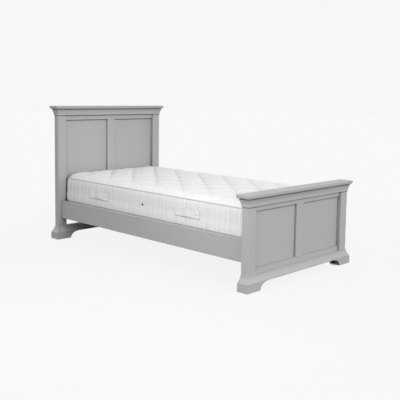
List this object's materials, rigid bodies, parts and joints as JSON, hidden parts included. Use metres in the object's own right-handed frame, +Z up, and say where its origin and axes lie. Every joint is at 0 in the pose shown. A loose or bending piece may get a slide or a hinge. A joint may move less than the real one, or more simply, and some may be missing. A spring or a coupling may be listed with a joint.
{
  "type": "single bed with mattress",
  "caption": "Single bed with panelled headboard and lower footboard, moulded caps, bracket feet, side rails on slats and a quilted lift-out mattress.",
  "frame": {"origin": "on the floor, under the middle of the bed's overall length and width", "axes": "+Y along the bed towards the headboard, +Z up, +X to the right of someone who looks at the bed from its foot"},
  "size_m": [1.083, 2.064, 1.038],
  "materials": {
    "grey_paint": "satin paint on wood",
    "pine": "planed, unfinished",
    "zinc_steel": "zinc plated",
    "quilted_top": "woven damask, quilted",
    "striped_border": "woven ticking with raised stripes",
    "base_cloth": "plain weave",
    "piping": "woven tape over cord",
    "core_filling": "springs in felt and foam",
    "eyelet_metal": "black nickel plated"
  },
  "bodies": {
    "frame": {"headboard_cap": "grey_paint", "headboard_cornice_front": "grey_paint", "headboard_cornice_back": "grey_paint", "headboard_cornice_ends": "grey_paint", "headboard_post_left": "grey_paint", "headboard_post_right": "grey_paint", "headboard_top_rail": "grey_paint", "headboard_bottom_rail": "grey_paint", "headboard_stretcher": "grey_paint", "headboard_muntin": "grey_paint", "headboard_panel_left": "grey_paint", "headboard_panel_right": "grey_paint", "headboard_plinth_front": "grey_paint", "headboard_plinth_back": "grey_paint", "headboard_plinth_ends": "grey_paint", "footboard_cap": "grey_paint", "footboard_cornice_front": "grey_paint", "footboard_cornice_back": "grey_paint", "footboard_cornice_ends": "grey_paint", "footboard_post_left": "grey_paint", "footboard_post_right": "grey_paint", "footboard_top_rail": "grey_paint", "footboard_bottom_rail": "grey_paint", "footboard_muntin": "grey_paint", "footboard_panel_left": "grey_paint", "footboard_panel_right": "grey_paint", "footboard_plinth_front": "grey_paint", "footboard_plinth_back": "grey_paint", "footboard_plinth_ends": "grey_paint", "side_rail_left": "grey_paint", "side_rail_right": "grey_paint", "ledger_left": "pine", "ledger_right": "pine", "slat_1": "pine", "slat_2": "pine", "slat_3": "pine", "slat_4": "pine", "slat_5": "pine", "slat_6": "pine", "slat_7": "pine", "slat_8": "pine", "slat_9": "pine", "slat_10": "pine", "slat_11": "pine", "slat_12": "pine", "rail_studs": "zinc_steel", "stud_inserts": "zinc_steel", "half_moon_washers": "zinc_steel", "stud_nuts": "zinc_steel", "rail_dowels": "pine", "ledger_screws": "zinc_steel", "slat_screws": "zinc_steel"},
    "mattress": {"mattress_top": "quilted_top", "mattress_border": "striped_border", "mattress_core": "core_filling", "mattress_base": "base_cloth", "mattress_piping": "piping", "mattress_handles": "striped_border", "mattress_vents": "eyelet_metal"}
  },
  "joints": [
    {"name": "mattress_lift", "type": "slide", "parent": "frame", "child": "mattress", "axis": [0, 0, 1], "range_m": [0, 0.3]}
  ]
}
